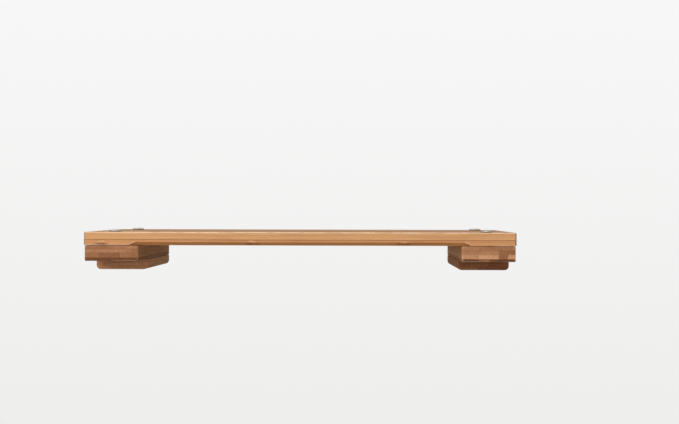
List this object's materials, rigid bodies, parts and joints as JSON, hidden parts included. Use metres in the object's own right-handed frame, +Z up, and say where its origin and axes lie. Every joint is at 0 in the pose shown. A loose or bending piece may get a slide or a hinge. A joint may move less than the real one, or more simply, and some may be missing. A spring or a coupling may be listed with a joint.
{
  "type": "cat wall shelf",
  "caption": "Cat wall shelf: a flat laminated bamboo board bolted down on bamboo brackets, each a full-depth block over a shorter arm with rounded lower edges.",
  "frame": {"origin": "middle of the board's back edge, in the wall plane at half the board's thickness", "axes": "+X along the wall to the right as seen from the room, +Y out of the back into the wall, +Z up; the front faces -Y"},
  "size_m": [0.4634, 0.3213, 0.0451],
  "materials": {
    "board_bamboo": "laminated bamboo, satin oil",
    "block_bamboo": "laminated bamboo, satin oil",
    "arm_bamboo": "laminated bamboo, satin oil",
    "bolt_nickel": "polished nickel plate",
    "insert_brass": "turned brass",
    "screw_zinc": "zinc plate",
    "washer_steel": "plain pressed steel"
  },
  "bodies": {
    "root": {"shelf_board": "board_bamboo", "left_bracket_block": "block_bamboo", "left_bracket_arm": "arm_bamboo", "left_front_board_bolt": "bolt_nickel", "left_front_insert_nut": "insert_brass", "left_arm_screw_front_inner": "screw_zinc", "left_arm_screw_front_outer": "screw_zinc", "left_rear_board_bolt": "bolt_nickel", "left_rear_insert_nut": "insert_brass", "left_arm_screw_rear_inner": "screw_zinc", "left_arm_screw_rear_outer": "screw_zinc", "left_wall_screw_inner": "screw_zinc", "left_wall_washer_inner": "washer_steel", "left_wall_screw_outer": "screw_zinc", "left_wall_washer_outer": "washer_steel", "right_bracket_block": "block_bamboo", "right_bracket_arm": "arm_bamboo", "right_front_board_bolt": "bolt_nickel", "right_front_insert_nut": "insert_brass", "right_arm_screw_front_inner": "screw_zinc", "right_arm_screw_front_outer": "screw_zinc", "right_rear_board_bolt": "bolt_nickel", "right_rear_insert_nut": "insert_brass", "right_arm_screw_rear_inner": "screw_zinc", "right_arm_screw_rear_outer": "screw_zinc", "right_wall_screw_inner": "screw_zinc", "right_wall_washer_inner": "washer_steel", "right_wall_screw_outer": "screw_zinc", "right_wall_washer_outer": "washer_steel"}
  },
  "joints": []
}
